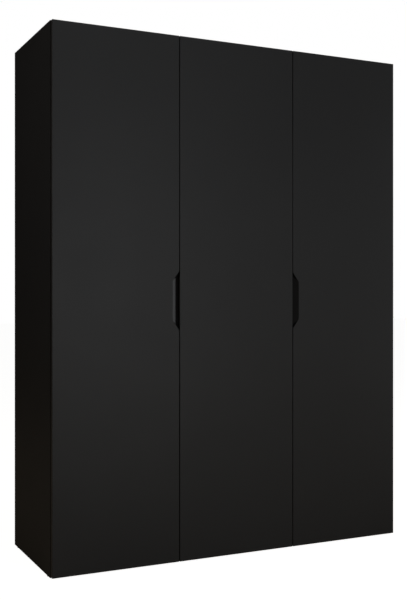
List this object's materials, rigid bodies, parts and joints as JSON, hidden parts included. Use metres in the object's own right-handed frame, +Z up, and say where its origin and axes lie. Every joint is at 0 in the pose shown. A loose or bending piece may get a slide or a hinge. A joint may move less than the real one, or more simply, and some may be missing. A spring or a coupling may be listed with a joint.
{
  "type": "wardrobe with doors",
  "caption": "Tall free-standing wardrobe with flush hinged doors, milled finger notches, a hanging rail behind two doors and shelves behind the third.",
  "frame": {"origin": "floor level, in the middle of the plan", "axes": "+Z up, doors face -Y, +X to the right seen from the front"},
  "size_m": [1.5, 0.52, 2],
  "materials": {
    "black_melamine_board": "satin",
    "black_hardboard_back": "matt",
    "zinc_plated_steel": "satin",
    "chromed_steel": "polished",
    "beech_dowel": "matt",
    "black_plastic": "matt",
    "soft_bumper": "matt"
  },
  "bodies": {
    "carcass": {"left_side_panel": "black_melamine_board", "right_side_panel": "black_melamine_board", "divider_panel": "black_melamine_board", "top_panel": "black_melamine_board", "bottom_panel": "black_melamine_board", "plinth_front_rail": "black_melamine_board", "plinth_back_rail": "black_melamine_board", "plinth_cross_brace": "black_melamine_board", "hat_shelf": "black_melamine_board", "fixed_shelf": "black_melamine_board", "lower_shelf": "black_melamine_board", "second_shelf": "black_melamine_board", "third_shelf": "black_melamine_board", "upper_shelf": "black_melamine_board", "left_back_panel": "black_hardboard_back", "middle_back_panel": "black_hardboard_back", "right_back_panel": "black_hardboard_back", "cam_locks": "zinc_plated_steel", "cam_bolts": "zinc_plated_steel", "plinth_screws": "zinc_plated_steel", "fixing_screws": "zinc_plated_steel", "back_nails": "zinc_plated_steel", "wall_brackets": "zinc_plated_steel", "mounting_plates": "zinc_plated_steel", "mounting_plate_screws": "zinc_plated_steel", "hinge_arm_pins": "zinc_plated_steel", "hinge_arm_screws": "zinc_plated_steel", "hinge_springs": "zinc_plated_steel", "shelf_pins": "zinc_plated_steel", "wooden_dowels": "beech_dowel", "clothes_rail": "chromed_steel", "rail_sockets": "chromed_steel", "back_joining_strip": "black_plastic", "floor_glides": "black_plastic", "left_door_hinge_arms": "zinc_plated_steel", "middle_door_hinge_arms": "zinc_plated_steel", "right_door_hinge_arms": "zinc_plated_steel"},
    "left_door_leaf": {"left_door": "black_melamine_board", "left_door_cup_pins": "zinc_plated_steel", "left_door_cup_screws": "zinc_plated_steel", "left_door_hinge_cups": "zinc_plated_steel", "left_door_bumpers": "soft_bumper"},
    "middle_door_leaf": {"middle_door": "black_melamine_board", "middle_door_cup_pins": "zinc_plated_steel", "middle_door_cup_screws": "zinc_plated_steel", "middle_door_hinge_cups": "zinc_plated_steel", "middle_door_bumpers": "soft_bumper"},
    "right_door_leaf": {"right_door": "black_melamine_board", "right_door_cup_pins": "zinc_plated_steel", "right_door_cup_screws": "zinc_plated_steel", "right_door_hinge_cups": "zinc_plated_steel", "right_door_bumpers": "soft_bumper"},
    "left_inner_linkage": {"left_door_inner_links": "zinc_plated_steel"},
    "left_outer_linkage": {"left_door_outer_links": "zinc_plated_steel"},
    "middle_inner_linkage": {"middle_door_inner_links": "zinc_plated_steel"},
    "middle_outer_linkage": {"middle_door_outer_links": "zinc_plated_steel"},
    "right_inner_linkage": {"right_door_inner_links": "zinc_plated_steel"},
    "right_outer_linkage": {"right_door_outer_links": "zinc_plated_steel"}
  },
  "joints": [
    {"name": "left_inner_link_turn", "type": "hinge", "parent": "carcass", "child": "left_inner_linkage", "pos_m": [-0.7187, -0.251, 1], "axis": [0, 0, 1], "range_deg": [0, 32.5]},
    {"name": "left_door_swing", "type": "hinge", "parent": "left_inner_linkage", "child": "left_door_leaf", "pos_m": [-0.7356, -0.2514, 1], "axis": [0, 0, -1], "range_deg": [0, 127.3]},
    {"name": "left_outer_link_turn", "type": "hinge", "parent": "carcass", "child": "left_outer_linkage", "pos_m": [-0.714, -0.2418, 1], "axis": [0, 0, 1], "range_deg": [0, 37.53]},
    {"name": "middle_inner_link_turn", "type": "hinge", "parent": "carcass", "child": "middle_inner_linkage", "pos_m": [0.2187, -0.251, 1], "axis": [0, 0, -1], "range_deg": [0, 32.5]},
    {"name": "middle_door_swing", "type": "hinge", "parent": "middle_inner_linkage", "child": "middle_door_leaf", "pos_m": [0.2356, -0.2514, 1], "axis": [0, 0, 1], "range_deg": [0, 127.3]},
    {"name": "middle_outer_link_turn", "type": "hinge", "parent": "carcass", "child": "middle_outer_linkage", "pos_m": [0.214, -0.2418, 1], "axis": [0, 0, -1], "range_deg": [0, 37.53]},
    {"name": "right_inner_link_turn", "type": "hinge", "parent": "carcass", "child": "right_inner_linkage", "pos_m": [0.7187, -0.251, 1], "axis": [0, 0, -1], "range_deg": [0, 32.5]},
    {"name": "right_door_swing", "type": "hinge", "parent": "right_inner_linkage", "child": "right_door_leaf", "pos_m": [0.7356, -0.2514, 1], "axis": [0, 0, 1], "range_deg": [0, 127.3]},
    {"name": "right_outer_link_turn", "type": "hinge", "parent": "carcass", "child": "right_outer_linkage", "pos_m": [0.714, -0.2418, 1], "axis": [0, 0, -1], "range_deg": [0, 37.53]}
  ],
  "couplings": [
    {"joint": "left_inner_link_turn", "follows": "left_door_swing", "ratio": 0.25373},
    {"joint": "left_outer_link_turn", "follows": "left_door_swing", "ratio": 0.29328},
    {"joint": "middle_inner_link_turn", "follows": "middle_door_swing", "ratio": 0.25373},
    {"joint": "middle_outer_link_turn", "follows": "middle_door_swing", "ratio": 0.29328},
    {"joint": "right_inner_link_turn", "follows": "right_door_swing", "ratio": 0.25373},
    {"joint": "right_outer_link_turn", "follows": "right_door_swing", "ratio": 0.29328}
  ]
}
